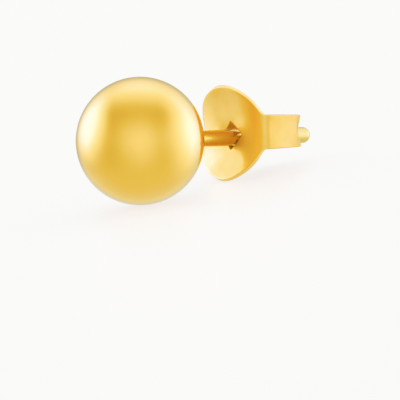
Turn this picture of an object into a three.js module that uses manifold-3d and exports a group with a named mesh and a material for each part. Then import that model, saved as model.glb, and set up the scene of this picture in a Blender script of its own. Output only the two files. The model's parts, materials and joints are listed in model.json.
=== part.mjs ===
// A ball stud earring with its butterfly back, lying on a flat surface as it lies by itself:
// on the ball in front and on the rim of the back behind.
//
// Two pieces of yellow metal. The ball and its post are one soldered piece. The back is one piece of
// sheet: a shallow cup with a square hole pierced corner up, and two ears that curl round behind the
// cup and pinch the post between them.
//
// Millimetres, +Z up. The ball is in front, towards -Y, and the post runs back along +Y, a little
// downhill. Each piece is made in the frame of the post: its origin at the ball's centre, +Y along
// the post, +X towards an ear. The finished part has its origin under the middle of its box.

import * as THREE from 'three';
import { mergeVertices } from 'three/addons/utils/BufferGeometryUtils.js';
import Module from 'manifold-3d';

const wasm = await Module();
wasm.setup();

// Ball and post
const BALL_DIAMETER = 6.0;
const POST_DIAMETER = 0.78;
const POST_LENGTH = 8.0; // from the ball's surface to the end of the round tip
const SOLDER_FILLET = 0.2; // radius of the solder between ball and post

// Sheet of the back
const SHEET_THICKNESS = 0.22;
const LOBE_SPACE = 2.91; // free post between the ball and the front of the back
const CUP_HEIGHT = 4.48; // of the oval disc that makes the cup, across the line of the ears
const CUP_WIDTH = 4.16; // of the same disc, along the line of the ears
const CUP_DEPTH = 0.67; // how far the rim above and below stands forward of the middle
const CUP_SIDE_SHARE = 0.17; // share of that hollow that the sheet has along the line of the ears

// Square hole, pierced corner up, with four petals bent back
const HOLE_SIDE = 1.0;
const HOLE_DROP = 0.12; // how far the hole sits below the middle of the cup
const SEAT_CLEARANCE = 0.035; // between the post and the two lower sides of the hole, where it lies
const LIP_DEPTH = 0.12; // how far the sheet is drawn back round the hole
const LIP_WIDTH = 0.3; // of the drawn ring outside the hole's corners
const PETAL_LENGTH = 0.42;
const PETAL_THICKNESS = 0.15;
const PETAL_TEAR = 0.06; // gap left at each end of a petal by the torn corner

// Ears: each is a strip of the same sheet. The side of the cup rolls gently back, the strip turns
// round a tight shoulder, runs back along its side, curls in and comes forward beside the post.
const EAR_WIDTH_AT_CUP = 1.63;
const EAR_WIDTH_AT_END = 1.45;
const NECK_BLEND = 0.39; // reach, to either side, of the soft corner between the edges of cup and ear
const ROLL_START = 1.16; // from the middle of the cup, along the sheet
const ROLL_RADIUS = 1.27;
const ROLL_TURN = THREE.MathUtils.degToRad(37);
const SHOULDER_RADIUS = 0.26;
const SIDE_RADIUS = 5.4;
const SIDE_TURN = THREE.MathUtils.degToRad(30);
const GRIP_CLEARANCE = 0.04; // between the post and an ear beside it
const GRIP_END = 0.95; // how far behind the middle of the cup the strip ends
const CREASE_DEPTH = 0.18; // of the V pressed along the middle of each ear, for the post
const CREASE_RUN = 0.7; // length over which the crease deepens, before the curl

// Facets
const ROUND_SEGMENTS = 48;
const HOLE_STEP = 0.1; // between lines of the sheet near its hole
const ROLL_STEP = 0.1; // between lines where the sheet starts to roll and narrows to the ears
const ARC_STEP = THREE.MathUtils.degToRad(14);
const ACROSS = 18; // lines across the sheet

const ballRadius = BALL_DIAMETER / 2;
const postRadius = POST_DIAMETER / 2;
const cupHalfHeight = CUP_HEIGHT / 2;
const cupHalfWidth = CUP_WIDTH / 2;
const tipCentre = ballRadius + POST_LENGTH - postRadius;
const backDistance = ballRadius + LOBE_SPACE + SHEET_THICKNESS / 2;

// The post lies in the lower corner of the hole, so the back sits a little high on it.
const holeRise = (HOLE_SIDE / 2 - postRadius - SEAT_CLEARANCE) * Math.SQRT2;
const backLift = holeRise + HOLE_DROP;
const lipRadius = HOLE_SIDE / Math.SQRT2 + LIP_WIDTH;

const gold = new THREE.MeshStandardMaterial({ color: 0xe3b33f, roughness: 0.16, metalness: 1 });
const sheetGold = new THREE.MeshStandardMaterial({ color: 0xe0a93a, roughness: 0.22, metalness: 1 });

// The outline of ball, solder, post and round tip, turned about the post's axis.
function ballAndPostGeometry() {
  const filletAxis = postRadius + SOLDER_FILLET;
  const filletReach = ballRadius + SOLDER_FILLET;
  const filletCentre = Math.sqrt(filletReach ** 2 - filletAxis ** 2);
  const solderAngle = Math.atan2(filletCentre, filletAxis);
  const outline = [];
  const arc = (x, y, radius, from, to, steps) => {
    for (let i = 0; i <= steps; i++) {
      const angle = from + ((to - from) * i) / steps;
      outline.push(new THREE.Vector2(Math.max(0, x + radius * Math.cos(angle)), y + radius * Math.sin(angle)));
    }
  };
  arc(0, 0, ballRadius, -Math.PI / 2, solderAngle, ROUND_SEGMENTS / 2);
  arc(filletAxis, filletCentre, SOLDER_FILLET, solderAngle - Math.PI, -Math.PI, 4);
  arc(0, tipCentre, postRadius, 0, Math.PI / 2, 6);
  outline[outline.length - 1].x = 0;
  // A flat of the facets faces down, not an edge.
  return new THREE.LatheGeometry(outline, ROUND_SEGMENTS, Math.PI / ROUND_SEGMENTS);
}

// A place on an ear's centre line: e is out to the side, a is back, and angle is the way it heads,
// from 0, straight out, to a quarter turn, straight back.
function afterArc(place, radius, turn) {
  const angle = place.angle + turn;
  return {
    e: place.e + radius * (Math.sin(angle) - Math.sin(place.angle)),
    a: place.a - radius * (Math.cos(angle) - Math.cos(place.angle)),
    angle,
  };
}

// The cup's own centre line, from its middle out to where it starts to roll back.
function onCup(s) {
  const hollow = (CUP_SIDE_SHARE * CUP_DEPTH) / cupHalfWidth ** 2;
  return { e: s, a: -hollow * s * s, angle: -Math.atan(2 * hollow * s) };
}

// The pieces of the centre line beyond the cup, each an arc or a straight, end to end.
function earRuns() {
  const rollFrom = onCup(ROLL_START);
  const shoulderFrom = afterArc(rollFrom, ROLL_RADIUS, ROLL_TURN);
  const shoulderTurn = Math.PI / 2 - shoulderFrom.angle;
  const sideFrom = afterArc(shoulderFrom, SHOULDER_RADIUS, shoulderTurn);
  const curlFrom = afterArc(sideFrom, SIDE_RADIUS, SIDE_TURN);
  // The crease's lower side passes the post at the clearance, which places the edges of the strip.
  const halfWidth = EAR_WIDTH_AT_END / 2;
  const slant = Math.hypot(1, CREASE_DEPTH / halfWidth);
  const gripFace = (postRadius + GRIP_CLEARANCE) * slant - CREASE_DEPTH * (1 - backLift / halfWidth);
  const gripLine = gripFace + SHEET_THICKNESS / 2;
  const curlTurn = 1.5 * Math.PI - curlFrom.angle;
  const curlRadius = (curlFrom.e - gripLine) / (1 + Math.sin(curlFrom.angle));
  const gripFrom = afterArc(curlFrom, curlRadius, curlTurn);
  return {
    roll: { from: rollFrom, radius: ROLL_RADIUS, length: ROLL_RADIUS * ROLL_TURN },
    shoulder: { from: shoulderFrom, radius: SHOULDER_RADIUS, length: SHOULDER_RADIUS * shoulderTurn },
    side: { from: sideFrom, radius: SIDE_RADIUS, length: SIDE_RADIUS * SIDE_TURN },
    curl: { from: curlFrom, radius: curlRadius, length: curlRadius * curlTurn },
    grip: { from: gripFrom, radius: Infinity, length: gripFrom.a - GRIP_END },
  };
}

const { roll, shoulder, side, curl, grip } = earRuns();
const curlStart = ROLL_START + roll.length + shoulder.length + side.length;
const stripEnd = curlStart + curl.length + grip.length;

// The centre line at a distance s along the sheet from the middle of the cup.
function centreLine(s) {
  if (s <= ROLL_START) return onCup(s);
  let left = s - ROLL_START;
  for (const { from, radius, length } of [roll, shoulder, side, curl]) {
    if (left <= length) return afterArc(from, radius, left / radius);
    left -= length;
  }
  return { e: grip.from.e, a: grip.from.a - left, angle: grip.from.angle };
}

// Half the width of the flat sheet at a distance s from the middle: an oval disc, then a strip, with
// a soft corner between the two edges.
function halfWidth(s) {
  const stripAtCup = EAR_WIDTH_AT_CUP / 2;
  const disc = cupHalfHeight * Math.sqrt(Math.max(0, 1 - (s / cupHalfWidth) ** 2));
  const above = disc - stripAtCup;
  if (above >= NECK_BLEND) return disc;
  if (above > -NECK_BLEND) return stripAtCup + (above + NECK_BLEND) ** 2 / (4 * NECK_BLEND);
  const stripAtEnd = EAR_WIDTH_AT_END / 2;
  return THREE.MathUtils.mapLinear(Math.max(s, cupHalfWidth), cupHalfWidth, stripEnd, stripAtCup, stripAtEnd);
}

// How far the pressed sheet stands out from its centre line, forwards on the cup, at (s, v):
// the cup's hollow, the drawn lip of the hole, and the crease in the ear.
function pressed(s, v) {
  const cup = CUP_DEPTH * (v / cupHalfHeight) ** 2;
  const cupFade = 1 - THREE.MathUtils.smoothstep(s, cupHalfWidth, curlStart - CREASE_RUN);
  const lip = LIP_DEPTH * (1 - THREE.MathUtils.smoothstep(Math.hypot(s, v + HOLE_DROP), 0, lipRadius));
  const creased = THREE.MathUtils.smoothstep(s, curlStart - CREASE_RUN, curlStart);
  const crease = CREASE_DEPTH * creased * (1 - Math.abs(v) / halfWidth(s));
  return cup * cupFade - lip - crease;
}

// The place on the folded sheet's middle layer of a point (u, v) of the flat sheet.
function fold(u, v) {
  const line = centreLine(Math.abs(u));
  const out = pressed(Math.abs(u), v);
  return new THREE.Vector3(
    Math.sign(u) * (line.e + Math.sin(line.angle) * out),
    line.a - Math.cos(line.angle) * out,
    v,
  );
}

// The folded sheet's front at (u, v), square to it.
function frontDirection(u, v) {
  const step = 1e-3;
  const along = fold(u + step, v).sub(fold(u - step, v));
  const across = fold(u, v + step).sub(fold(u, v - step));
  return along.cross(across).normalize();
}

// Distances from the middle at which lines cross the sheet, for one half of it.
function stations() {
  const found = [HOLE_STEP / 2];
  const stretch = (length, steps) => {
    const from = found[found.length - 1];
    for (let i = 1; i <= steps; i++) found.push(from + (length * i) / steps);
  };
  const nearHole = Math.ceil(lipRadius / HOLE_STEP);
  stretch(nearHole * HOLE_STEP, nearHole);
  stretch(ROLL_START - found[nearHole], 3);
  stretch(roll.length, Math.ceil(roll.length / ROLL_STEP));
  for (const { length, radius } of [shoulder, side, curl]) {
    stretch(length, Math.max(6, Math.ceil(length / radius / ARC_STEP)));
  }
  stretch(grip.length, 3);
  return found;
}

// A closed sheet: a front and a back layer of points, joined round their border.
function sheetGeometry() {
  const half = stations();
  const lines = [...half.map((s) => -s).reverse(), ...half];
  const rows = ACROSS + 1;
  const points = [];
  for (const layer of [1, -1]) {
    for (const u of lines) {
      for (let j = 0; j < rows; j++) {
        const x = (2 * j) / ACROSS - 1;
        const v = halfWidth(Math.abs(u)) * (0.55 * x + 0.45 * x ** 3);
        const point = fold(u, v).addScaledVector(frontDirection(u, v), (layer * SHEET_THICKNESS) / 2);
        points.push(...point);
      }
    }
  }
  const layerSize = lines.length * rows;
  const front = (i, j) => i * rows + j;
  const rear = (i, j) => layerSize + front(i, j);
  const faces = [];
  const quad = (a, b, c, d) => faces.push(a, b, c, a, c, d);
  for (let i = 0; i + 1 < lines.length; i++) {
    for (let j = 0; j < ACROSS; j++) {
      quad(front(i, j), front(i + 1, j), front(i + 1, j + 1), front(i, j + 1));
      quad(rear(i, j), rear(i, j + 1), rear(i + 1, j + 1), rear(i + 1, j));
    }
    quad(front(i, 0), rear(i, 0), rear(i + 1, 0), front(i + 1, 0));
    quad(front(i, ACROSS), front(i + 1, ACROSS), rear(i + 1, ACROSS), rear(i, ACROSS));
  }
  const end = lines.length - 1;
  for (let j = 0; j < ACROSS; j++) {
    quad(front(0, j), front(0, j + 1), rear(0, j + 1), rear(0, j));
    quad(front(end, j), rear(end, j), rear(end, j + 1), front(end, j + 1));
  }
  const geometry = new THREE.BufferGeometry();
  geometry.setAttribute('position', new THREE.Float32BufferAttribute(points, 3));
  geometry.setIndex(faces);
  return geometry;
}

// A square bar through the cup, corner up, as long as the drawn lip and the sheet need.
function holeGeometry() {
  const reach = LIP_DEPTH + SHEET_THICKNESS + CUP_DEPTH / 2;
  const bar = new THREE.BoxGeometry(HOLE_SIDE, 2 * reach, HOLE_SIDE);
  bar.rotateY(Math.PI / 4);
  bar.translate(0, 0, -HOLE_DROP);
  return bar;
}

// A petal on the hole's side that faces the given way: a triangle bent straight back, its inner
// face in line with the side.
function petalGeometry(facing) {
  const base = HOLE_SIDE / 2 - PETAL_TEAR;
  const root = LIP_DEPTH - SHEET_THICKNESS / 4;
  const shape = new THREE.Shape();
  shape.moveTo(-base, root);
  shape.lineTo(base, root);
  shape.lineTo(0, root + PETAL_LENGTH);
  const petal = new THREE.ExtrudeGeometry(shape, { depth: PETAL_THICKNESS, bevelEnabled: false });
  petal.translate(0, 0, HOLE_SIDE / 2);
  petal.rotateY(facing);
  petal.translate(0, 0, -HOLE_DROP);
  return petal;
}

// A geometry as a manifold-3d solid, and back.
function solid(geometry) {
  const bare = geometry.clone();
  bare.deleteAttribute('normal');
  bare.deleteAttribute('uv');
  const merged = mergeVertices(bare, 1e-4);
  return new wasm.Manifold(
    new wasm.Mesh({
      numProp: 3,
      vertProperties: merged.attributes.position.array,
      triVerts: new Uint32Array(merged.index.array),
    }),
  );
}

function geometryOf(shape) {
  const mesh = shape.getMesh();
  const geometry = new THREE.BufferGeometry();
  geometry.setAttribute('position', new THREE.BufferAttribute(mesh.vertProperties, 3));
  geometry.setIndex(new THREE.BufferAttribute(mesh.triVerts, 1));
  geometry.computeVertexNormals();
  return geometry;
}

function butterflyBackGeometry() {
  let back = solid(sheetGeometry()).subtract(solid(holeGeometry()));
  for (let corner = 0; corner < 4; corner++) {
    back = back.add(solid(petalGeometry(((corner + 0.5) * Math.PI) / 2)));
  }
  return geometryOf(back);
}

// How far the post leans downhill when the ball stands on a surface: until the first point behind
// the ball meets it. A point a back and z up touches at the lean where a sin - z cos is the ball's radius.
function restingLean(points) {
  let lean = Math.PI / 2;
  for (const { y, z } of points) {
    const far = Math.hypot(y, z);
    if (y <= 0 || far <= ballRadius) continue;
    lean = Math.min(lean, Math.asin(ballRadius / far) - Math.atan2(-z, y));
  }
  return lean;
}

function pointsOf(mesh) {
  const positions = mesh.geometry.attributes.position;
  const points = [];
  for (let i = 0; i < positions.count; i++) {
    points.push(new THREE.Vector3().fromBufferAttribute(positions, i).add(mesh.position));
  }
  return points;
}

const ballAndPost = new THREE.Mesh(ballAndPostGeometry(), gold);
ballAndPost.name = 'ball_and_post';

const butterflyBack = new THREE.Mesh(butterflyBackGeometry(), sheetGold);
butterflyBack.name = 'butterfly_back';
butterflyBack.position.set(0, backDistance, backLift);

const behindBall = pointsOf(ballAndPost).filter((point) => point.length() > ballRadius + SOLDER_FILLET);
const lean = restingLean([...behindBall, ...pointsOf(butterflyBack)]);

const lying = new THREE.Group();
lying.add(ballAndPost, butterflyBack);
lying.rotation.x = -lean;

const earring = new THREE.Group();
earring.add(lying);
const box = new THREE.Box3().setFromObject(earring, true);
lying.position.set(-(box.min.x + box.max.x) / 2, -(box.min.y + box.max.y) / 2, -box.min.z);

export default earring;
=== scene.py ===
"""A gold ball stud earring with its butterfly back, lying on a pale floor in soft studio light.

The ball and its post are turned by Geometry Nodes from a few named sizes. The back is one sheet of
metal, folded by a formula from its flat outline, with rounded edges and four petals bent back from
its hole. Shapes are worked out in millimetres in the frame of the post, with the origin at the
ball's centre, +Y along the post and +X towards an ear, and then laid on the floor as the frame says.
"""

import json
import math

import bmesh
import bpy
from bpy.props import FloatProperty, FloatVectorProperty, IntProperty, PointerProperty
from mathutils import Matrix, Vector


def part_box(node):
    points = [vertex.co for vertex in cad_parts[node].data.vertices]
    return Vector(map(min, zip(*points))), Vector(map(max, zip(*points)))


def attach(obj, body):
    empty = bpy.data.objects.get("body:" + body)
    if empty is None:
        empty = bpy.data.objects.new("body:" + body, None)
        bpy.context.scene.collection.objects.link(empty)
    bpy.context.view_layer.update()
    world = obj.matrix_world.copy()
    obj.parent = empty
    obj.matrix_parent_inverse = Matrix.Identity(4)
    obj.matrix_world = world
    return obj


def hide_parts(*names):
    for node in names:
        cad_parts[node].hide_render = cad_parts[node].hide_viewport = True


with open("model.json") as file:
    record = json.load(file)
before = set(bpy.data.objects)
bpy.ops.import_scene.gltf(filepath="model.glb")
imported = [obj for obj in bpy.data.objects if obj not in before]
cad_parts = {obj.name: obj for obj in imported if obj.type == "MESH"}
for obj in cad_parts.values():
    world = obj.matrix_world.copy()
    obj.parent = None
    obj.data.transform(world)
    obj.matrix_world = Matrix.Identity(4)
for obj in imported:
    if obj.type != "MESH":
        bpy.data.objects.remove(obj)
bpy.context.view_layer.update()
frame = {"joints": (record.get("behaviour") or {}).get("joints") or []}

bl_info = {
    "name": "Ball Stud Earring",
    "version": (1, 0, 0),
    "blender": (4, 5, 0),
    "location": "View3D > Sidebar > Earring",
    "description": "Makes a gold ball stud with its butterfly back and a small studio around it",
    "category": "Add Mesh",
}

MM = 0.001
SLIDE = next(joint for joint in frame["joints"] if joint["name"] == "back_slide")
POST_DIRECTION = Vector(SLIDE["axis"]).normalized()
POST_LEAN = math.asin(-POST_DIRECTION.z)


# Shares and angles of the folded back, as the solid has them, in millimetres.
HOLE_DROP = 0.12
SEAT_CLEARANCE = 0.035
CUP_SIDE_SHARE = 0.17
LIP_DEPTH = 0.12
LIP_WIDTH = 0.3
NECK_BLEND = 0.39
ROLL_START = 1.16
ROLL_RADIUS = 1.27
ROLL_TURN = math.radians(37)
SHOULDER_RADIUS = 0.26
SIDE_RADIUS = 5.4
SIDE_TURN = math.radians(30)
GRIP_CLEARANCE = 0.04
GRIP_END = 0.95
CREASE_DEPTH = 0.18
CREASE_RUN = 0.7
PETAL_LENGTH = 0.42
PETAL_THICKNESS = 0.15
PETAL_TEAR = 0.06

# Petals: the taper of their tips, how far they thin out, and their rounding as a share of the sheet's.
PETALS = 4
PETAL_TIP_HALF = 0.03
PETAL_THINNING = 0.45
PETAL_ROUNDING = 0.6

# Fineness of the sheet's mesh: its steps along and rows across, and the bend at the foot of the crease.
SHEET_STEP = 0.085
SHEET_ROWS = 12
PETAL_ROWS = 8
CREASE_ROUND = 0.12
# The share of that step on the roll, shoulder, side, curl and grip of an ear.
RUN_STEPS = (0.7, 0.6, 1.2, 1.0, 1.0)
# How softly the cup's curve goes over into its roll: the reach of the easing, the span that it fades
# over, and the samples that it averages.
ROLL_EASE = 0.5
ROLL_EASE_SPAN = 0.85
ROLL_EASE_SAMPLES = (-1, -0.67, -0.33, 0, 0.33, 0.67, 1)
# Edges that bend more than this are rounded. Places closer than TINY count as one.
ROUNDED_FROM = math.radians(50)
TINY = 1e-9

# Fineness of the turned outline: its steps on the ball, the fillet and the tip, and where points merge.
BALL_STEPS = 84
FILLET_STEPS = 9
TIP_STEPS = 16
MERGE_WITHIN = 1e-4

# The picture: its size, and the place and size of the ball in it, in pixels.
FRAME_PIXELS = 400
BALL_PIXELS = (140.05, 141.0)
BALL_RADIUS_PIXELS = 64.4
SENSOR_WIDTH = 36.0
CAMERA_SEES = (0.01, 20.0)

# Fine marks of the polish: how fine its clouds and wipes are, how far they vary roughness and tone, and
# how high the wipes stand.
BALL_CLOUDS = 420.0
BALL_WIPES = 2600.0
WIPE_STRETCH = (1.0, 9.0, 2.0)
WIPE_SHARE = 0.3
BALL_ROUGHEST = 1.2
BALL_SMOOTHEST = 0.85
BALL_DARKEST = 0.965
WIPE_HEIGHT = 0.002 * MM
WIPE_RELIEF = 0.35

# The same for the sheet's clouds, rolling lines and pits, and how much smoother its rubbed edges are.
SHEET_CLOUDS = 700.0
SHEET_LINES = 9.0
SHEET_PITS = 9000.0
LINE_STRETCH = (1.0, 14.0, 1.0)
LINE_SHARE = 0.5
PIT_SHARE = 0.35
SHEET_ROUGHEST = 1.25
SHEET_SMOOTHEST = 0.8
SHEET_DARKEST = 0.95
LINE_HEIGHT = 0.004 * MM
LINE_RELIEF = 0.5
EDGE_RUB = 0.08

# Where the sheet turns from the bright disc to the bent ears, which are duller and painted darker as painted
# shade, from its middle, in millimetres.
EARS_FROM = 1.85
EARS_TO = 2.35
# The thin clear lacquer that keeps the metal bright.
LACQUER = 0.8
LACQUER_ROUGHNESS = 0.1

# Light. Each panel has its strength and its soft edges, each from dark to full, as places on a mirror ball.
FLOOR_COLOUR = (0.25, 0.25, 0.25)
FLOOR_GLOW = 0.75
FLOOR_ROUGHNESS = 0.4
FLOOR_SIDES = 96
LIGHT_COLOUR = (1.0, 1.0, 1.0)
ROOM_LIGHT = 0.8
LOW_LIGHT = 0.2
LOW_EDGE = (-0.1, -0.6)
CAMERA_LIGHT = 0.45
CAMERA_EDGE = (0.6, 0.0)
LEFT_PANEL = {"strength": 9.6, "across": (-0.39, -1.52), "height": (-0.52, 0.5)}
RIGHT_PANEL = {"strength": 5.5, "across": (0.25, 1.7), "height": (-0.72, 0.23)}
TOP_PANEL = {"strength": 2.3, "height": (0.36, 1.4)}
RIM_EDGE = (1.0, 0.79)
BACK_SHADE = -0.25
BACK_EDGE = (0.93, 1.0)

# How bright each tone of the scene is shown, and the same for blue, whose low tones are held back.
TONES = ((0.2, 0.2), (0.45, 0.45), (0.7, 0.7), (0.85, 0.79), (1.0, 0.87),
         (1.2, 0.965), (1.6, 0.99), (2.2, 0.997))
BLUE_TONES = ((0.1, 0.015), (0.26, 0.05), (0.32, 0.12), (0.46, 0.28), (0.6, 0.5), (0.8, 0.74), (1.0, 0.86),
              (1.2, 0.955), (1.6, 0.985), (2.2, 0.995))
BRIGHTEST_TONE = 4.0


# Settings


class EarringSizes(bpy.types.PropertyGroup):
    """Sizes of the earring, the same as those of the solids that it dresses."""

    ball_diameter: FloatProperty(
        name="Ball diameter", description="Across the ball", default=6.0 * MM, unit="LENGTH", precision=5)
    post_diameter: FloatProperty(
        name="Post diameter", description="Across the round post",
        default=0.78 * MM, unit="LENGTH", precision=5)
    post_length: FloatProperty(
        name="Post length", description="From the ball's surface to the end of the round tip",
        default=8.0 * MM, unit="LENGTH", precision=5)
    solder_fillet: FloatProperty(
        name="Solder fillet", description="Radius of the solder between ball and post",
        default=0.2 * MM, unit="LENGTH", precision=5)
    lobe_space: FloatProperty(
        name="Lobe space", description="Free post between the ball and the front of the back",
        default=2.91 * MM, unit="LENGTH", precision=5)
    sheet_thickness: FloatProperty(
        name="Sheet thickness", description="Of the metal of the back",
        default=0.22 * MM, unit="LENGTH", precision=5)
    cup_height: FloatProperty(
        name="Cup height", description="Of the oval disc that makes the cup, across the line of the ears",
        default=4.48 * MM, unit="LENGTH", precision=5)
    cup_width: FloatProperty(
        name="Cup width", description="Of the same disc, along the line of the ears",
        default=4.16 * MM, unit="LENGTH", precision=5)
    cup_depth: FloatProperty(
        name="Cup depth", description="How far the rim above and below stands forward of the middle",
        default=0.67 * MM, unit="LENGTH", precision=5)
    hole_side: FloatProperty(
        name="Hole side", description="Side of the square hole, which stands corner up",
        default=1.0 * MM, unit="LENGTH", precision=5)
    ear_width_at_cup: FloatProperty(
        name="Ear width at the cup", description="Of the strip where it leaves the cup",
        default=1.63 * MM, unit="LENGTH", precision=5)
    ear_width_at_end: FloatProperty(
        name="Ear width at the end", description="Of the strip where it ends beside the post",
        default=1.45 * MM, unit="LENGTH", precision=5)
    edge_round: FloatProperty(
        name="Edge rounding", description="Radius of the tumbled edges of the sheet",
        default=0.04 * MM, unit="LENGTH", precision=5)


class EarringFinish(bpy.types.PropertyGroup):
    """Colours and polish of the two finishes."""

    ball_gold: FloatVectorProperty(
        name="Ball gold", description="Colour of the polished ball and post", subtype="COLOR",
        size=3, min=0.0, max=1.0, default=(0.92, 0.515, 0.275))
    sheet_gold: FloatVectorProperty(
        name="Sheet gold", description="Colour of the stamped sheet", subtype="COLOR",
        size=3, min=0.0, max=1.0, default=(0.93, 0.57, 0.335))
    # Painted shade: the bent ears get a darker gold than the disc, for the shade that falls on them.
    ear_painted_shade_gold: FloatVectorProperty(
        name="Ear gold", description="Colour of the sheet where it is bent to the ears", subtype="COLOR",
        size=3, min=0.0, max=1.0, default=(0.82, 0.46, 0.24))
    ear_dulling: FloatProperty(
        name="Ear dulling", description="How much rougher the ears are than the disc",
        default=0.2, min=0.0, max=1.0, subtype="FACTOR")
    # Painted shade: the post gets a darker copy of the ball's gold, for its darker look in the shade between
    # ball and back.
    post_painted_shade_gold: FloatVectorProperty(
        name="Wire gold", description="Colour of the drawn wire of the post", subtype="COLOR",
        size=3, min=0.0, max=1.0, default=(0.68, 0.45, 0.26))
    wire_roughness: FloatProperty(
        name="Wire roughness", description="Of the drawn wire",
        default=0.3, min=0.0, max=1.0, subtype="FACTOR")
    ball_roughness: FloatProperty(
        name="Ball roughness", description="Of the polished ball",
        default=0.14, min=0.0, max=1.0, subtype="FACTOR")
    sheet_roughness: FloatProperty(
        name="Sheet roughness", description="Of the stamped sheet",
        default=0.47, min=0.0, max=1.0, subtype="FACTOR")


class EarringStudio(bpy.types.PropertyGroup):
    """The view and the light."""

    view_turn: FloatProperty(
        name="View turn", description="Angle between the view and the post, seen from above",
        default=math.radians(46.35), subtype="ANGLE")
    view_rise: FloatProperty(
        name="View rise", description="How far the view looks down across the post",
        default=math.radians(1.0), subtype="ANGLE")
    view_roll: FloatProperty(
        name="View roll", description="How far the picture is turned clockwise",
        default=math.radians(1.75), subtype="ANGLE")
    view_distance: FloatProperty(
        name="View distance", description="From the ball's centre to the camera", default=0.26, unit="LENGTH")
    floor_radius: FloatProperty(
        name="Floor radius", description="Of the round pale floor", default=2.5, unit="LENGTH")
    round_steps: IntProperty(
        name="Round steps", description="Faces round the ball", default=144, min=24, max=256)


class Mount:
    """Where the two pieces sit, worked out from the sizes, in millimetres."""

    def __init__(self, sizes):
        self.ball_radius = sizes.ball_diameter / 2 / MM
        self.post_radius = sizes.post_diameter / 2 / MM
        self.tip_centre = self.ball_radius + sizes.post_length / MM - self.post_radius
        self.thickness = sizes.sheet_thickness / MM
        self.hole_side = sizes.hole_side / MM
        hole_rise = (self.hole_side / 2 - self.post_radius - SEAT_CLEARANCE) * math.sqrt(2)
        self.back_lift = hole_rise + HOLE_DROP
        self.back_distance = self.ball_radius + sizes.lobe_space / MM + self.thickness / 2

    def lying(self):
        """From the post's frame in millimetres to the floor's in metres."""
        low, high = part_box("ball_and_post")
        centre = Vector(((low.x + high.x) / 2, low.y + self.ball_radius * MM, self.ball_radius * MM))
        return Matrix.Translation(centre) @ Matrix.Rotation(-POST_LEAN, 4, "X") @ Matrix.Scale(MM, 4)

    def back(self):
        """From the frame of the back in millimetres to the floor's in metres."""
        return self.lying() @ Matrix.Translation((0, self.back_distance, self.back_lift))


# Node helpers


def linked(tree, node, *values):
    """Sets a node's inputs in order, by link or by value, and returns its first output."""
    for socket, value in zip(node.inputs, values):
        if isinstance(value, bpy.types.NodeSocket):
            tree.links.new(value, socket)
        elif value is not None:
            socket.default_value = value
    return node.outputs[0]


def maths(tree, operation, *values):
    node = tree.nodes.new("ShaderNodeMath")
    node.operation = operation
    return linked(tree, node, *values)


def combined(tree, x=0.0, y=0.0, z=0.0):
    return linked(tree, tree.nodes.new("ShaderNodeCombineXYZ"), x, y, z)


def smooth_range(tree, value, low, high, to_low=0.0, to_high=1.0):
    """Goes smoothly from to_low, where value is low, to to_high, where it is high."""
    node = tree.nodes.new("ShaderNodeMapRange")
    node.interpolation_type = "SMOOTHSTEP"
    return linked(tree, node, value, low, high, to_low, to_high)


def join_geometry(tree, *parts):
    node = tree.nodes.new("GeometryNodeJoinGeometry")
    for part in reversed(parts):
        tree.links.new(part, node.inputs[0])
    return node.outputs[0]


def new_tree(name, numbers=(), geometry_in=False):
    """A Geometry Nodes tree with named number inputs: the tree and its input sockets by name."""
    tree = bpy.data.node_groups.new(name, "GeometryNodeTree")
    if geometry_in:
        tree.interface.new_socket("Geometry", in_out="INPUT", socket_type="NodeSocketGeometry")
    for label, kind in numbers:
        tree.interface.new_socket(label, in_out="INPUT", socket_type=kind)
    tree.interface.new_socket("Geometry", in_out="OUTPUT", socket_type="NodeSocketGeometry")
    entry = tree.nodes.new("NodeGroupInput")
    return tree, {socket.name: socket for socket in entry.outputs if socket.name}


def finish_tree(tree, geometry, material):
    """Ends a tree: instances made real, the material set."""
    realize = tree.nodes.new("GeometryNodeRealizeInstances")
    tree.links.new(geometry, realize.inputs[0])
    paint = tree.nodes.new("GeometryNodeSetMaterial")
    tree.links.new(realize.outputs[0], paint.inputs["Geometry"])
    paint.inputs["Material"].default_value = material
    leave = tree.nodes.new("NodeGroupOutput")
    tree.links.new(paint.outputs[0], leave.inputs[0])


def run_tree(tree, values, start=None):
    """The plain mesh that a tree makes with these values, from a start mesh or from nothing."""
    host = bpy.data.objects.new("tree_host", start or bpy.data.meshes.new("tree_host"))
    bpy.context.scene.collection.objects.link(host)
    modifier = host.modifiers.new("Nodes", "NODES")
    modifier.node_group = tree
    for item in tree.interface.items_tree:
        if item.in_out == "INPUT" and item.name in values:
            modifier[item.identifier] = values[item.name]
    mesh = evaluated_mesh(host)
    bpy.data.objects.remove(host)
    return mesh


def evaluated_mesh(host):
    depsgraph = bpy.context.evaluated_depsgraph_get()
    return bpy.data.meshes.new_from_object(host.evaluated_get(depsgraph))


def add_piece(name, mesh, body, slot, *nodes):
    """A finished mesh as a piece that rides on a body and stands for CAD nodes."""
    mesh.name = name
    piece = bpy.data.objects.new(name, mesh)
    bpy.context.scene.collection.objects.link(piece)
    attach(piece, body)
    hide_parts(*nodes)
    return piece


# Finishes


def metal(name, colour, roughness):
    """A metal material with its shader: the material, its tree and the shader node."""
    material = bpy.data.materials.new(name)
    material.use_nodes = True
    tree = material.node_tree
    shader = tree.nodes["Principled BSDF"]
    shader.inputs["Metallic"].default_value = 1.0
    shader.inputs["Base Color"].default_value = (*colour, 1.0)
    shader.inputs["Roughness"].default_value = roughness
    shader.inputs["Coat Weight"].default_value = LACQUER
    shader.inputs["Coat Roughness"].default_value = LACQUER_ROUGHNESS
    return material, tree, shader


def noise(tree, coordinates, scale, detail=3.0, stretch=(1.0, 1.0, 1.0)):
    """Noise from 0 to 1 over coordinates, finer along the axes that stretch makes larger."""
    mapping = tree.nodes.new("ShaderNodeMapping")
    mapping.inputs["Scale"].default_value = stretch
    tree.links.new(coordinates, mapping.inputs["Vector"])
    texture = tree.nodes.new("ShaderNodeTexNoise")
    texture.inputs["Scale"].default_value = scale
    texture.inputs["Detail"].default_value = detail
    tree.links.new(mapping.outputs[0], texture.inputs["Vector"])
    return texture.outputs["Fac"]


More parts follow.
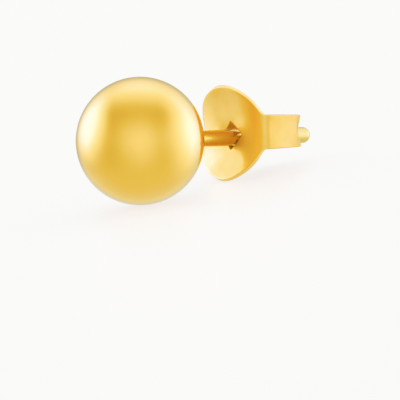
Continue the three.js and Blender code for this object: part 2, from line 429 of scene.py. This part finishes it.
def bumped(tree, shader, height, distance, strength):
    bump = tree.nodes.new("ShaderNodeBump")
    bump.inputs["Distance"].default_value = distance
    bump.inputs["Strength"].default_value = strength
    tree.links.new(height, bump.inputs["Height"])
    tree.links.new(bump.outputs[0], shader.inputs["Normal"])


def mixed_colour(tree, amount, first, second):
    """From the first colour to the second by amount. Each is a socket or three numbers."""
    mix = tree.nodes.new("ShaderNodeMix")
    mix.data_type = "RGBA"
    tree.links.new(amount, mix.inputs["Factor"])
    for name, colour in (("A", first), ("B", second)):
        if isinstance(colour, bpy.types.NodeSocket):
            tree.links.new(colour, mix.inputs[name])
        else:
            mix.inputs[name].default_value = (*colour, 1.0)
    return mix.outputs["Result"]


def darkened(colour, share):
    return tuple(channel * share for channel in colour)


def polished_gold(finish):
    """Mirror polish with soft clouds and hair-fine wipe marks on the ball, and on the post the rougher finish
    of drawn wire with a darker gold that is painted shade.
    """
    material, tree, shader = metal("polished_gold", finish.ball_gold, finish.ball_roughness)
    place = tree.nodes.new("ShaderNodeTexCoord").outputs["Object"]
    wire = tree.nodes.new("ShaderNodeAttribute")
    wire.attribute_name = "wire"
    clouds = noise(tree, place, BALL_CLOUDS)
    wipes = noise(tree, place, BALL_WIPES, 4.0, WIPE_STRETCH)
    low = finish.ball_roughness * BALL_SMOOTHEST
    high = finish.ball_roughness * BALL_ROUGHEST
    marks = maths(tree, "MULTIPLY_ADD", wipes, WIPE_SHARE, clouds)
    rough = smooth_range(tree, marks, 0.4, 0.9, low, high)
    extra = finish.wire_roughness - finish.ball_roughness
    rough = maths(tree, "MULTIPLY_ADD", wire.outputs["Fac"], extra, rough)
    tree.links.new(rough, shader.inputs["Roughness"])
    cloudy = smooth_range(tree, clouds, 0.35, 0.7)
    ball = mixed_colour(tree, cloudy, finish.ball_gold, darkened(finish.ball_gold, BALL_DARKEST))
    # Painted shade: the post is coloured with the darker post gold.
    colour = mixed_colour(tree, wire.outputs["Fac"], ball, finish.post_painted_shade_gold)
    tree.links.new(colour, shader.inputs["Base Color"])
    bumped(tree, shader, wipes, WIPE_HEIGHT, WIPE_RELIEF)
    return material


def stamped_gold(finish):
    """Rolled and stamped sheet: faint lines along it, small pits, rubbed edges, and duller bent ears in a
    darker gold that is painted shade.
    """
    material, tree, shader = metal("sheet_gold", finish.sheet_gold, finish.sheet_roughness)
    flat = tree.nodes.new("ShaderNodeUVMap")
    flat.uv_map = "flat_sheet"
    place = tree.nodes.new("ShaderNodeTexCoord").outputs["Object"]
    lines = noise(tree, flat.outputs[0], SHEET_LINES, 4.0, LINE_STRETCH)
    clouds = noise(tree, place, SHEET_CLOUDS)
    pits = noise(tree, place, SHEET_PITS, 2.0)
    cut = tree.nodes.new("ShaderNodeAttribute")
    cut.attribute_name = "cut_edge"
    low = finish.sheet_roughness * SHEET_SMOOTHEST
    high = finish.sheet_roughness * SHEET_ROUGHEST
    marks = maths(tree, "MULTIPLY_ADD", lines, LINE_SHARE, clouds)
    rough = smooth_range(tree, marks, 0.5, 1.0, low, high)
    apart = tree.nodes.new("ShaderNodeSeparateXYZ")
    tree.links.new(flat.outputs[0], apart.inputs[0])
    ears = smooth_range(tree, maths(tree, "ABSOLUTE", apart.outputs["X"]), EARS_FROM, EARS_TO)
    rough = maths(tree, "MULTIPLY_ADD", ears, finish.ear_dulling, rough)
    rubbed = maths(tree, "MULTIPLY_ADD", cut.outputs["Fac"], -EDGE_RUB, rough)
    tree.links.new(rubbed, shader.inputs["Roughness"])
    cloudy = smooth_range(tree, clouds, 0.35, 0.75)
    disc = mixed_colour(tree, cloudy, finish.sheet_gold, darkened(finish.sheet_gold, SHEET_DARKEST))
    # Painted shade: the ears are coloured with the darker ear gold.
    colour = mixed_colour(tree, ears, disc, finish.ear_painted_shade_gold)
    tree.links.new(colour, shader.inputs["Base Color"])
    relief = maths(tree, "MULTIPLY_ADD", pits, PIT_SHARE, lines)
    bumped(tree, shader, relief, LINE_HEIGHT, LINE_RELIEF)
    return material


# Ball and post


def arc_curve(tree, radius, start, sweep, steps, x=0.0, y=0.0):
    """An arc in the XY plane about the point x, y."""
    node = tree.nodes.new("GeometryNodeCurveArc")
    node.mode = "RADIUS"
    wanted = {"Resolution": steps, "Radius": radius, "Start Angle": start, "Sweep Angle": sweep}
    for label, value in wanted.items():
        socket = next(each for each in node.inputs if each.name == label and each.enabled)
        if isinstance(value, bpy.types.NodeSocket):
            tree.links.new(value, socket)
        else:
            socket.default_value = value
    move = tree.nodes.new("GeometryNodeTransform")
    tree.links.new(node.outputs["Curve"], move.inputs["Geometry"])
    tree.links.new(combined(tree, x, y), move.inputs["Translation"])
    return move.outputs[0]


def turned_piece_tree(material):
    """A ball, the solder's fillet, the post and its round tip, as one outline turned about the axis."""
    tree, given = new_tree("Turned Ball And Post", (
        ("Ball Radius", "NodeSocketFloat"),
        ("Post Radius", "NodeSocketFloat"),
        ("Fillet Radius", "NodeSocketFloat"),
        ("Tip Centre", "NodeSocketFloat"),
        ("Steps Round", "NodeSocketInt"),
    ))
    ball, post, fillet = given["Ball Radius"], given["Post Radius"], given["Fillet Radius"]
    fillet_axis = maths(tree, "ADD", post, fillet)
    reach = maths(tree, "ADD", ball, fillet)
    reach_squared = maths(tree, "POWER", reach, 2.0)
    axis_squared = maths(tree, "POWER", fillet_axis, 2.0)
    fillet_centre = maths(tree, "SQRT", maths(tree, "SUBTRACT", reach_squared, axis_squared))
    solder_angle = maths(tree, "ARCTAN2", fillet_centre, fillet_axis)
    ball_sweep = maths(tree, "ADD", solder_angle, math.pi / 2)
    ball_arc = arc_curve(tree, ball, -math.pi / 2, ball_sweep, BALL_STEPS)
    fillet_arc = arc_curve(tree, fillet, maths(tree, "SUBTRACT", solder_angle, math.pi),
                           maths(tree, "MULTIPLY", solder_angle, -1.0), FILLET_STEPS,
                           fillet_axis, fillet_centre)
    tip_arc = arc_curve(tree, post, 0.0, math.pi / 2, TIP_STEPS, 0.0, given["Tip Centre"])
    side = tree.nodes.new("GeometryNodeCurvePrimitiveLine")
    tree.links.new(combined(tree, post, fillet_centre), side.inputs["Start"])
    tree.links.new(combined(tree, post, given["Tip Centre"]), side.inputs["End"])
    outline = join_geometry(tree, ball_arc, fillet_arc, side.outputs[0], tip_arc)
    # The outline is swept round a circle, set in by the circle's radius so that it turns about the middle.
    inset = tree.nodes.new("GeometryNodeTransform")
    tree.links.new(outline, inset.inputs["Geometry"])
    tree.links.new(combined(tree, maths(tree, "MULTIPLY", ball, -1.0)), inset.inputs["Translation"])
    circle = tree.nodes.new("GeometryNodeCurvePrimitiveCircle")
    tree.links.new(given["Steps Round"], circle.inputs["Resolution"])
    tree.links.new(ball, circle.inputs["Radius"])
    sweep = tree.nodes.new("GeometryNodeCurveToMesh")
    tree.links.new(circle.outputs[0], sweep.inputs["Curve"])
    tree.links.new(inset.outputs[0], sweep.inputs["Profile Curve"])
    merge = tree.nodes.new("GeometryNodeMergeByDistance")
    tree.links.new(sweep.outputs[0], merge.inputs["Geometry"])
    merge.inputs["Distance"].default_value = MERGE_WITHIN
    smooth = tree.nodes.new("GeometryNodeSetShadeSmooth")
    tree.links.new(merge.outputs[0], smooth.inputs["Geometry"])
    finish_tree(tree, smooth.outputs[0], material)
    return tree


def mark_wire(mesh, start, end):
    """Marks the post's share of a mesh along Y: none on the ball's side of start and all of it past end."""
    marks = mesh.attributes.new("wire", "FLOAT", "POINT")
    for vertex, mark in zip(mesh.vertices, marks.data):
        mark.value = smoothstep(vertex.co.y, start, end)


def face_outwards(mesh):
    """Turns every closed shell of a mesh so that its faces point out."""
    shell = bmesh.new()
    shell.from_mesh(mesh)
    bmesh.ops.recalc_face_normals(shell, faces=shell.faces)
    shell.to_mesh(mesh)
    shell.free()


# Butterfly back


def smoothstep(value, low, high):
    share = min(1.0, max(0.0, (value - low) / (high - low)))
    return share * share * (3.0 - 2.0 * share)


def after_arc(place, radius, turn):
    """The place and heading at the end of an arc that starts at place, which is out, back, heading."""
    out, back, heading = place
    ahead = heading + turn
    return (out + radius * (math.sin(ahead) - math.sin(heading)),
            back - radius * (math.cos(ahead) - math.cos(heading)), ahead)


class FoldedSheet:
    """The sheet of the back: its flat outline, and where each point of it lies once it is folded."""

    def __init__(self, sizes, mount):
        self.thickness = mount.thickness
        self.half_height = sizes.cup_height / 2 / MM
        self.half_length = sizes.cup_width / 2 / MM
        self.cup_depth = sizes.cup_depth / MM
        self.width_at_cup = sizes.ear_width_at_cup / MM
        self.width_at_end = sizes.ear_width_at_end / MM
        self.hole_corner = mount.hole_side / math.sqrt(2)
        self.lip_radius = self.hole_corner + LIP_WIDTH
        self.runs = self.ear_runs(mount)
        self.curl_start = ROLL_START + sum(length for start, radius, length in self.runs[:3])
        self.end = ROLL_START + sum(length for start, radius, length in self.runs)

    def on_cup(self, s):
        hollow = CUP_SIDE_SHARE * self.cup_depth / self.half_length ** 2
        return s, -hollow * s * s, -math.atan(2 * hollow * s)

    def ear_runs(self, mount):
        """Roll, shoulder, side, curl and grip of an ear: each its start, its radius and its length."""
        roll = self.on_cup(ROLL_START)
        shoulder = after_arc(roll, ROLL_RADIUS, ROLL_TURN)
        shoulder_turn = math.pi / 2 - shoulder[2]
        side = after_arc(shoulder, SHOULDER_RADIUS, shoulder_turn)
        curl = after_arc(side, SIDE_RADIUS, SIDE_TURN)
        half_width = self.width_at_end / 2
        slant = math.hypot(1, CREASE_DEPTH / half_width)
        crease_there = CREASE_DEPTH * (1 - mount.back_lift / half_width)
        grip_face = (mount.post_radius + GRIP_CLEARANCE) * slant - crease_there
        grip_line = grip_face + self.thickness / 2
        curl_turn = 1.5 * math.pi - curl[2]
        curl_radius = (curl[0] - grip_line) / (1 + math.sin(curl[2]))
        grip = after_arc(curl, curl_radius, curl_turn)
        return [
            (roll, ROLL_RADIUS, ROLL_RADIUS * ROLL_TURN),
            (shoulder, SHOULDER_RADIUS, SHOULDER_RADIUS * shoulder_turn),
            (side, SIDE_RADIUS, SIDE_RADIUS * SIDE_TURN),
            (curl, curl_radius, curl_radius * curl_turn),
            (grip, math.inf, grip[1] - GRIP_END),
        ]

    def centre_line(self, s):
        """Where the line is, and its heading. The bend eases in where the cup starts to roll."""
        reach = ROLL_EASE * max(0.0, 1 - ((s - ROLL_START) / ROLL_EASE_SPAN) ** 2)
        samples = [self.plain_line(s + reach * share) for share in ROLL_EASE_SAMPLES]
        return tuple(sum(values) / len(samples) for values in zip(*samples))

    def plain_line(self, s):
        if s <= ROLL_START:
            return self.on_cup(s)
        left = s - ROLL_START
        for start, radius, length in self.runs[:-1]:
            if left <= length:
                return after_arc(start, radius, left / radius)
            left -= length
        out, back, heading = self.runs[-1][0]
        return out, back - left, heading

    def half_width(self, s):
        """Half the width of the flat sheet: an oval disc, then a strip, with a soft corner between."""
        at_cup = self.width_at_cup / 2
        disc = self.half_height * math.sqrt(max(0.0, 1 - (s / self.half_length) ** 2))
        above = disc - at_cup
        if above >= NECK_BLEND:
            return disc
        if above > -NECK_BLEND:
            return at_cup + (above + NECK_BLEND) ** 2 / (4 * NECK_BLEND)
        share = (max(s, self.half_length) - self.half_length) / (self.end - self.half_length)
        return at_cup + (self.width_at_end / 2 - at_cup) * share

    def pressed(self, s, v):
        """How far the sheet stands forward of its centre line: cup, drawn lip and crease of the ear."""
        cup = self.cup_depth * (v / self.half_height) ** 2
        cup_fade = 1 - smoothstep(s, self.half_length, self.curl_start - CREASE_RUN)
        lip = LIP_DEPTH * (1 - smoothstep(math.hypot(s, v + HOLE_DROP), 0, self.lip_radius))
        creased = smoothstep(s, self.curl_start - CREASE_RUN, self.curl_start)
        across = abs(v) / self.half_width(s)
        crease = CREASE_DEPTH * creased * (1 - math.hypot(across, CREASE_ROUND) + CREASE_ROUND)
        return cup * cup_fade - lip - crease

    def fold(self, u, v):
        out, back, heading = self.centre_line(abs(u))
        forward = self.pressed(abs(u), v)
        side = -1.0 if u < 0 else 1.0
        return Vector((side * (out + math.sin(heading) * forward), back - math.cos(heading) * forward, v))

    def front(self, u, v):
        step = 1e-3
        along = self.fold(u + step, v) - self.fold(u - step, v)
        across = self.fold(u, v + step) - self.fold(u, v - step)
        return along.cross(across).normalized()

    def stations(self):
        """Where lines cross the sheet, from its middle to the end of an ear. One meets the hole's corner."""
        found = [0.0]

        def stretch(length, step):
            start = found[-1]
            count = math.ceil(length / step)
            found.extend(start + length * (i + 1) / count for i in range(count))

        stretch(self.hole_corner, SHEET_STEP)
        stretch(ROLL_START - self.hole_corner, SHEET_STEP)
        for (start, radius, length), share in zip(self.runs, RUN_STEPS):
            stretch(length, SHEET_STEP * share)
        return found


def sheet_mesh(sheet):
    """The folded sheet as a closed mesh, with its flat places as a UV map and its cut edges marked."""
    half = sheet.stations()
    lines = [-s for s in reversed(half[1:])] + half
    shell = bmesh.new()
    flat_layer = shell.loops.layers.uv.new("flat_sheet")
    cut_layer = shell.verts.layers.float.new("cut_edge")
    flat_of = {}
    made = {}

    def flat_place(upper, i, j):
        u = lines[i]
        inner = max(0.0, sheet.hole_corner - abs(u))
        outer = sheet.half_width(abs(u))
        share = j / SHEET_ROWS
        if upper:
            return u, -HOLE_DROP + inner + (outer + HOLE_DROP - inner) * share
        return u, -HOLE_DROP - inner - (outer - HOLE_DROP - inner) * share

    def vertex(layer, upper, i, j):
        seam = j == 0 and abs(lines[i]) >= sheet.hole_corner - TINY
        key = (layer, upper or seam, i, j)
        if key not in made:
            u, v = flat_place(upper, i, j)
            place = sheet.fold(u, v) + sheet.front(u, v) * (layer * sheet.thickness / 2)
            made[key] = shell.verts.new(place)
            flat_of[made[key]] = (u, v)
            at_hole = j == 0 and not seam
            made[key][cut_layer] = float(at_hole or j == SHEET_ROWS or i in (0, len(lines) - 1))
        return made[key]

    def face(*corners):
        if len(set(corners)) > 2:
            ring = [corner for k, corner in enumerate(corners) if corner != corners[k - 1]]
            shell.faces.new(ring)

    last = len(lines) - 1
    for upper in (True, False):
        for i in range(last):
            at_hole = max(abs(lines[i]), abs(lines[i + 1])) <= sheet.hole_corner + TINY
            for j in range(SHEET_ROWS):
                for layer in (1, -1):
                    face(vertex(layer, upper, i, j), vertex(layer, upper, i + 1, j),
                         vertex(layer, upper, i + 1, j + 1), vertex(layer, upper, i, j + 1))
            borders = [SHEET_ROWS] + ([0] if at_hole else [])
            for j in borders:
                face(vertex(1, upper, i, j), vertex(1, upper, i + 1, j),
                     vertex(-1, upper, i + 1, j), vertex(-1, upper, i, j))
        for i in (0, last):
            for j in range(SHEET_ROWS):
                face(vertex(1, upper, i, j), vertex(1, upper, i, j + 1),
                     vertex(-1, upper, i, j + 1), vertex(-1, upper, i, j))
    bmesh.ops.recalc_face_normals(shell, faces=shell.faces)
    for each in shell.faces:
        each.smooth = True
        for loop in each.loops:
            loop[flat_layer].uv = flat_of[loop.vert]
    mesh = bpy.data.meshes.new("sheet")
    shell.to_mesh(mesh)
    shell.free()
    return mesh


def softened(mesh, rounding, levels):
    """The mesh with rounded edges, in millimetres, and then subdivided."""
    host = bpy.data.objects.new("softened", mesh)
    bpy.context.scene.collection.objects.link(host)
    bevel = host.modifiers.new("Rounding", "BEVEL")
    bevel.width = rounding
    bevel.segments = 2
    bevel.limit_method = "ANGLE"
    bevel.angle_limit = ROUNDED_FROM
    bevel.miter_outer = "MITER_ARC"
    refine = host.modifiers.new("Refine", "SUBSURF")
    refine.levels = levels
    refine.render_levels = levels
    refine.boundary_smooth = "PRESERVE_CORNERS"
    result = evaluated_mesh(host)
    bpy.data.objects.remove(host)
    return result


def petal_mesh(mount):
    """One petal in millimetres, bent straight back: its inner face in the plane z = 0, its root at y = 0."""
    base = mount.hole_side / 2 - PETAL_TEAR
    shell = bmesh.new()
    rings = []
    for i in range(PETAL_ROWS + 1):
        share = i / PETAL_ROWS
        half = base * (1 - share) + PETAL_TIP_HALF * share
        thick = PETAL_THICKNESS * (1 - PETAL_THINNING * share * share)
        corners = ((-half, 0), (half, 0), (half, thick), (-half, thick))
        rings.append([shell.verts.new((x, PETAL_LENGTH * share, z)) for x, z in corners])
    for a, b in zip(rings, rings[1:]):
        for k in range(4):
            shell.faces.new((a[k], a[k - 1], b[k - 1], b[k]))
    shell.faces.new(rings[0])
    shell.faces.new(rings[-1])
    bmesh.ops.recalc_face_normals(shell, faces=shell.faces)
    for each in shell.faces:
        each.smooth = True
    mesh = bpy.data.meshes.new("petal")
    shell.to_mesh(mesh)
    shell.free()
    return mesh


def petal_ring_tree(material):
    """Sets a petal on each side of a square hole: copies turned about the post's direction."""
    tree, given = new_tree("Petal Ring", (
        ("Hole Half Side", "NodeSocketFloat"),
        ("Root Depth", "NodeSocketFloat"),
        ("Drop", "NodeSocketFloat"),
        ("Petals", "NodeSocketInt"),
    ), geometry_in=True)
    seat = tree.nodes.new("GeometryNodeTransform")
    tree.links.new(given["Geometry"], seat.inputs["Geometry"])
    root = combined(tree, 0.0, given["Root Depth"], given["Hole Half Side"])
    tree.links.new(root, seat.inputs["Translation"])
    points = tree.nodes.new("GeometryNodePoints")
    tree.links.new(given["Petals"], points.inputs["Count"])
    place = combined(tree, 0.0, 0.0, maths(tree, "MULTIPLY", given["Drop"], -1.0))
    tree.links.new(place, points.inputs["Position"])
    index = tree.nodes.new("GeometryNodeInputIndex").outputs[0]
    whole_turns = maths(tree, "MULTIPLY", maths(tree, "ADD", index, 0.5), 2 * math.pi)
    turn = maths(tree, "DIVIDE", whole_turns, given["Petals"])
    copies = tree.nodes.new("GeometryNodeInstanceOnPoints")
    tree.links.new(points.outputs[0], copies.inputs["Points"])
    tree.links.new(seat.outputs[0], copies.inputs["Instance"])
    tree.links.new(combined(tree, 0.0, turn, 0.0), copies.inputs["Rotation"])
    finish_tree(tree, copies.outputs[0], material)
    return tree


def joined(name, parts, matrix, material):
    """Meshes as one, moved by a matrix, with one material."""
    shell = bmesh.new()
    for part in parts:
        shell.from_mesh(part)
    shell.transform(matrix)
    mesh = bpy.data.meshes.new(name)
    shell.to_mesh(mesh)
    shell.free()
    mesh.materials.clear()
    mesh.materials.append(material)
    for polygon in mesh.polygons:
        polygon.material_index = 0
    return mesh


# Operators


class EARRING_OT_ball_and_post(bpy.types.Operator):
    """Turn the ball, its solder and the post in one piece"""

    bl_idname = "earring.ball_and_post"
    bl_label = "Ball and Post"

    def execute(self, context):
        scene = context.scene
        mount = Mount(scene.earring_sizes)
        material = polished_gold(scene.earring_finish)
        mesh = run_tree(turned_piece_tree(material), {
            "Ball Radius": mount.ball_radius,
            "Post Radius": mount.post_radius,
            "Fillet Radius": scene.earring_sizes.solder_fillet / MM,
            "Tip Centre": mount.tip_centre,
            "Steps Round": scene.earring_studio.round_steps,
        })
        # The tree turns its outline about -Z, and the post runs along +Y.
        mesh.transform(Matrix.Rotation(math.pi / 2, 4, "X"))
        mark_wire(mesh, mount.ball_radius, mount.ball_radius + scene.earring_sizes.solder_fillet / MM)
        mesh.transform(mount.lying())
        face_outwards(mesh)
        add_piece("ball_and_post_polished", mesh, "stud", "polished_gold", "ball_and_post")
        return {"FINISHED"}


class EARRING_OT_butterfly_back(bpy.types.Operator):
    """Fold the sheet of the back and bend the petals of its hole"""

    bl_idname = "earring.butterfly_back"
    bl_label = "Butterfly Back"

    def execute(self, context):
        scene = context.scene
        sizes = scene.earring_sizes
        mount = Mount(sizes)
        material = stamped_gold(scene.earring_finish)
        rounding = sizes.edge_round / MM
        sheet = softened(sheet_mesh(FoldedSheet(sizes, mount)), rounding, 1)
        petal = softened(petal_mesh(mount), rounding * PETAL_ROUNDING, 1)
        petals = run_tree(petal_ring_tree(material), {
            "Hole Half Side": mount.hole_side / 2,
            "Root Depth": LIP_DEPTH - mount.thickness / 4,
            "Drop": HOLE_DROP,
            "Petals": PETALS,
        }, petal)
        mesh = joined("butterfly_back", (sheet, petals), mount.back(), material)
        add_piece("butterfly_back_folded", mesh, "back", "sheet_gold", "butterfly_back")
        return {"FINISHED"}


# Studio


def view_axes(studio):
    """Right, up and towards the camera, on the floor's axes."""
    turn, rise, roll = studio.view_turn, studio.view_rise, studio.view_roll
    towards = Vector((math.sin(turn) * math.cos(rise), -math.cos(turn) * math.cos(rise), math.sin(rise)))
    right = Vector((math.cos(turn), math.sin(turn), 0.0))
    up = towards.cross(right)
    rolled_right = math.cos(roll) * right - math.sin(roll) * up
    rolled_up = math.sin(roll) * right + math.cos(roll) * up
    lie = Matrix.Rotation(-POST_LEAN, 3, "X")
    return lie @ rolled_right, lie @ rolled_up, lie @ towards


def add_camera(studio, mount):
    """A long lens that shows the ball at its place and size in the 400 pixel frame."""
    right, up, towards = view_axes(studio)
    metres_per_pixel = mount.ball_radius * MM / BALL_RADIUS_PIXELS
    ball = mount.lying().translation
    aim_right = (FRAME_PIXELS / 2 - BALL_PIXELS[0]) * metres_per_pixel
    aim_down = (FRAME_PIXELS / 2 - BALL_PIXELS[1]) * metres_per_pixel
    place = ball + towards * studio.view_distance + right * aim_right - up * aim_down
    data = bpy.data.cameras.new("camera")
    data.sensor_width = SENSOR_WIDTH
    data.lens = SENSOR_WIDTH * studio.view_distance / (FRAME_PIXELS * metres_per_pixel)
    data.clip_start, data.clip_end = CAMERA_SEES
    camera = bpy.data.objects.new("camera", data)
    camera.matrix_world = Matrix.Translation(place) @ Matrix((right, up, towards)).transposed().to_4x4()
    bpy.context.scene.collection.objects.link(camera)
    bpy.context.scene.camera = camera


def add_floor(studio):
    """A round pale floor that glows a little by itself. The metal mirrors the room and not the floor."""
    shell = bmesh.new()
    bmesh.ops.create_circle(shell, cap_ends=True, segments=FLOOR_SIDES, radius=studio.floor_radius)
    mesh = bpy.data.meshes.new("floor")
    shell.to_mesh(mesh)
    shell.free()
    material = bpy.data.materials.new("pale_floor")
    material.use_nodes = True
    tree = material.node_tree
    shader = tree.nodes["Principled BSDF"]
    shader.inputs["Base Color"].default_value = (*FLOOR_COLOUR, 1.0)
    shader.inputs["Roughness"].default_value = FLOOR_ROUGHNESS
    shader.inputs["Emission Color"].default_value = (*LIGHT_COLOUR, 1.0)
    shader.inputs["Emission Strength"].default_value = FLOOR_GLOW
    mesh.materials.append(material)
    floor = bpy.data.objects.new("floor", mesh)
    floor.visible_glossy = False
    bpy.context.scene.collection.objects.link(floor)


def add_room(axes):
    """Soft light from all round, with three large soft panels to the left, the right and above.

    A light is placed by where a mirror ball shows it: across and up the ball, from -1 to 1.
    """
    right, up, towards = axes
    world = bpy.data.worlds.new("studio")
    bpy.context.scene.world = world
    world.use_nodes = True
    tree = world.node_tree
    background = tree.nodes["Background"]
    direction = tree.nodes.new("ShaderNodeTexCoord").outputs["Generated"]

    def vector_maths(operation, first, second=None):
        node = tree.nodes.new("ShaderNodeVectorMath")
        node.operation = operation
        linked(tree, node, first, second)
        return node.outputs["Value" if operation == "DOT_PRODUCT" else "Vector"]

    facing = vector_maths("NORMALIZE", vector_maths("ADD", direction, towards))
    across = vector_maths("DOT_PRODUCT", facing, right)
    height = vector_maths("DOT_PRODUCT", facing, up)
    out = maths(tree, "SINE", maths(tree, "ARCCOSINE", vector_maths("DOT_PRODUCT", facing, towards)))

    def edge(value, dark, full):
        """A soft edge: 0 where the value is dark and 1 where it is full."""
        ends = (dark, full, 0.0, 1.0) if dark < full else (full, dark, 1.0, 0.0)
        return smooth_range(tree, value, *ends)

    def lit(light, strength, *edges):
        """The light with one more, as strong as all of its edges let it be."""
        for each in edges:
            strength = maths(tree, "MULTIPLY", each, strength)
        return maths(tree, "ADD", light, strength)

    rim = edge(out, *RIM_EDGE)
    light = lit(ROOM_LIGHT, LOW_LIGHT, edge(height, *LOW_EDGE))
    light = lit(light, CAMERA_LIGHT, edge(out, *CAMERA_EDGE))
    light = lit(light, BACK_SHADE, edge(out, *BACK_EDGE))
    for panel in (LEFT_PANEL, RIGHT_PANEL):
        sides = edge(across, *panel["across"])
        light = lit(light, panel["strength"], rim, sides, edge(height, *panel["height"]))
    light = lit(light, TOP_PANEL["strength"], rim, edge(height, *TOP_PANEL["height"]))
    tree.links.new(light, background.inputs["Strength"])
    background.inputs["Color"].default_value = (*LIGHT_COLOUR, 1.0)


def set_tones(settings):
    """A photographer's tone curve: the brightest tones ease into white, and gold's low blue goes deeper."""
    settings.view_transform = "Standard"
    settings.use_curve_mapping = True
    mapping = settings.curve_mapping
    mapping.white_level = (BRIGHTEST_TONE,) * 3
    for curve, tones in zip(mapping.curves, (TONES, TONES, BLUE_TONES)):
        for tone, shown in tones:
            curve.points.new(tone / BRIGHTEST_TONE, shown)
    mapping.update()


class EARRING_OT_studio(bpy.types.Operator):
    """Set the camera, the pale floor and the soft light"""

    bl_idname = "earring.studio"
    bl_label = "Studio"

    def execute(self, context):
        scene = context.scene
        add_camera(scene.earring_studio, Mount(scene.earring_sizes))
        add_floor(scene.earring_studio)
        add_room(view_axes(scene.earring_studio))
        set_tones(scene.view_settings)
        return {"FINISHED"}


class EARRING_PT_panel(bpy.types.Panel):
    """Sidebar panel that lists the sizes, the finishes and the steps"""

    bl_idname = "EARRING_PT_panel"
    bl_label = "Ball Stud Earring"
    bl_space_type = "VIEW_3D"
    bl_region_type = "UI"
    bl_category = "Earring"

    def draw(self, context):
        layout = self.layout
        scene = context.scene
        for settings in (scene.earring_sizes, scene.earring_finish, scene.earring_studio):
            column = layout.column(align=True)
            for name in settings.__annotations__:
                column.prop(settings, name)
        for operator in OPERATORS:
            layout.operator(operator.bl_idname)


OPERATORS = (EARRING_OT_ball_and_post, EARRING_OT_butterfly_back, EARRING_OT_studio)
CLASSES = (EarringSizes, EarringFinish, EarringStudio, *OPERATORS, EARRING_PT_panel)


def register():
    for each in CLASSES:
        bpy.utils.register_class(each)
    bpy.types.Scene.earring_sizes = PointerProperty(type=EarringSizes)
    bpy.types.Scene.earring_finish = PointerProperty(type=EarringFinish)
    bpy.types.Scene.earring_studio = PointerProperty(type=EarringStudio)


def unregister():
    del bpy.types.Scene.earring_studio
    del bpy.types.Scene.earring_finish
    del bpy.types.Scene.earring_sizes
    for each in reversed(CLASSES):
        bpy.utils.unregister_class(each)


def main():
    register()
    bpy.ops.earring.ball_and_post()
    bpy.ops.earring.butterfly_back()
    bpy.ops.earring.studio()


if __name__ == "__main__":
    main()
